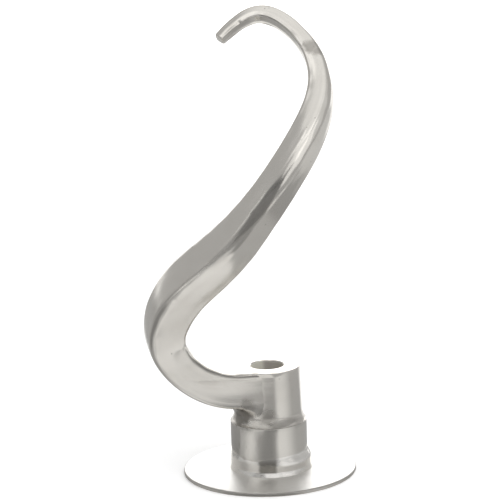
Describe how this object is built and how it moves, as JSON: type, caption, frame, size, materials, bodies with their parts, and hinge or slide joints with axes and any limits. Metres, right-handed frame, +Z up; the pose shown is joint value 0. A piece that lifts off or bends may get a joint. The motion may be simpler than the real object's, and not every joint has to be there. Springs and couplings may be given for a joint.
{
  "type": "dough hook",
  "caption": "Spiral dough hook for a planetary stand mixer: a twisted, tapering arm cast with its hub boss, on a turned drive sleeve with a round splash disc.",
  "frame": {"origin": "middle of the footprint of the whole hook's box, on the surface that the splash disc rests on", "axes": "+Z up along the hub's axis from the disc to the boss and arm, -Y towards the face where the arm joins the boss and passes in front of the hub's axis, -X towards the side the arm leaves the boss"},
  "size_m": [0.1188, 0.102, 0.2657],
  "materials": {
    "cast_steel": "cast stainless steel, ground and polished",
    "turned_steel": "stainless steel, turned and polished",
    "disc_steel": "stainless steel sheet, polished",
    "weld_steel": "stainless steel weld bead, dressed and polished"
  },
  "bodies": {
    "root": {"hook_casting": "cast_steel", "hub_sleeve": "turned_steel", "splash_disc": "disc_steel", "disc_weld_bead": "weld_steel"}
  },
  "joints": []
}
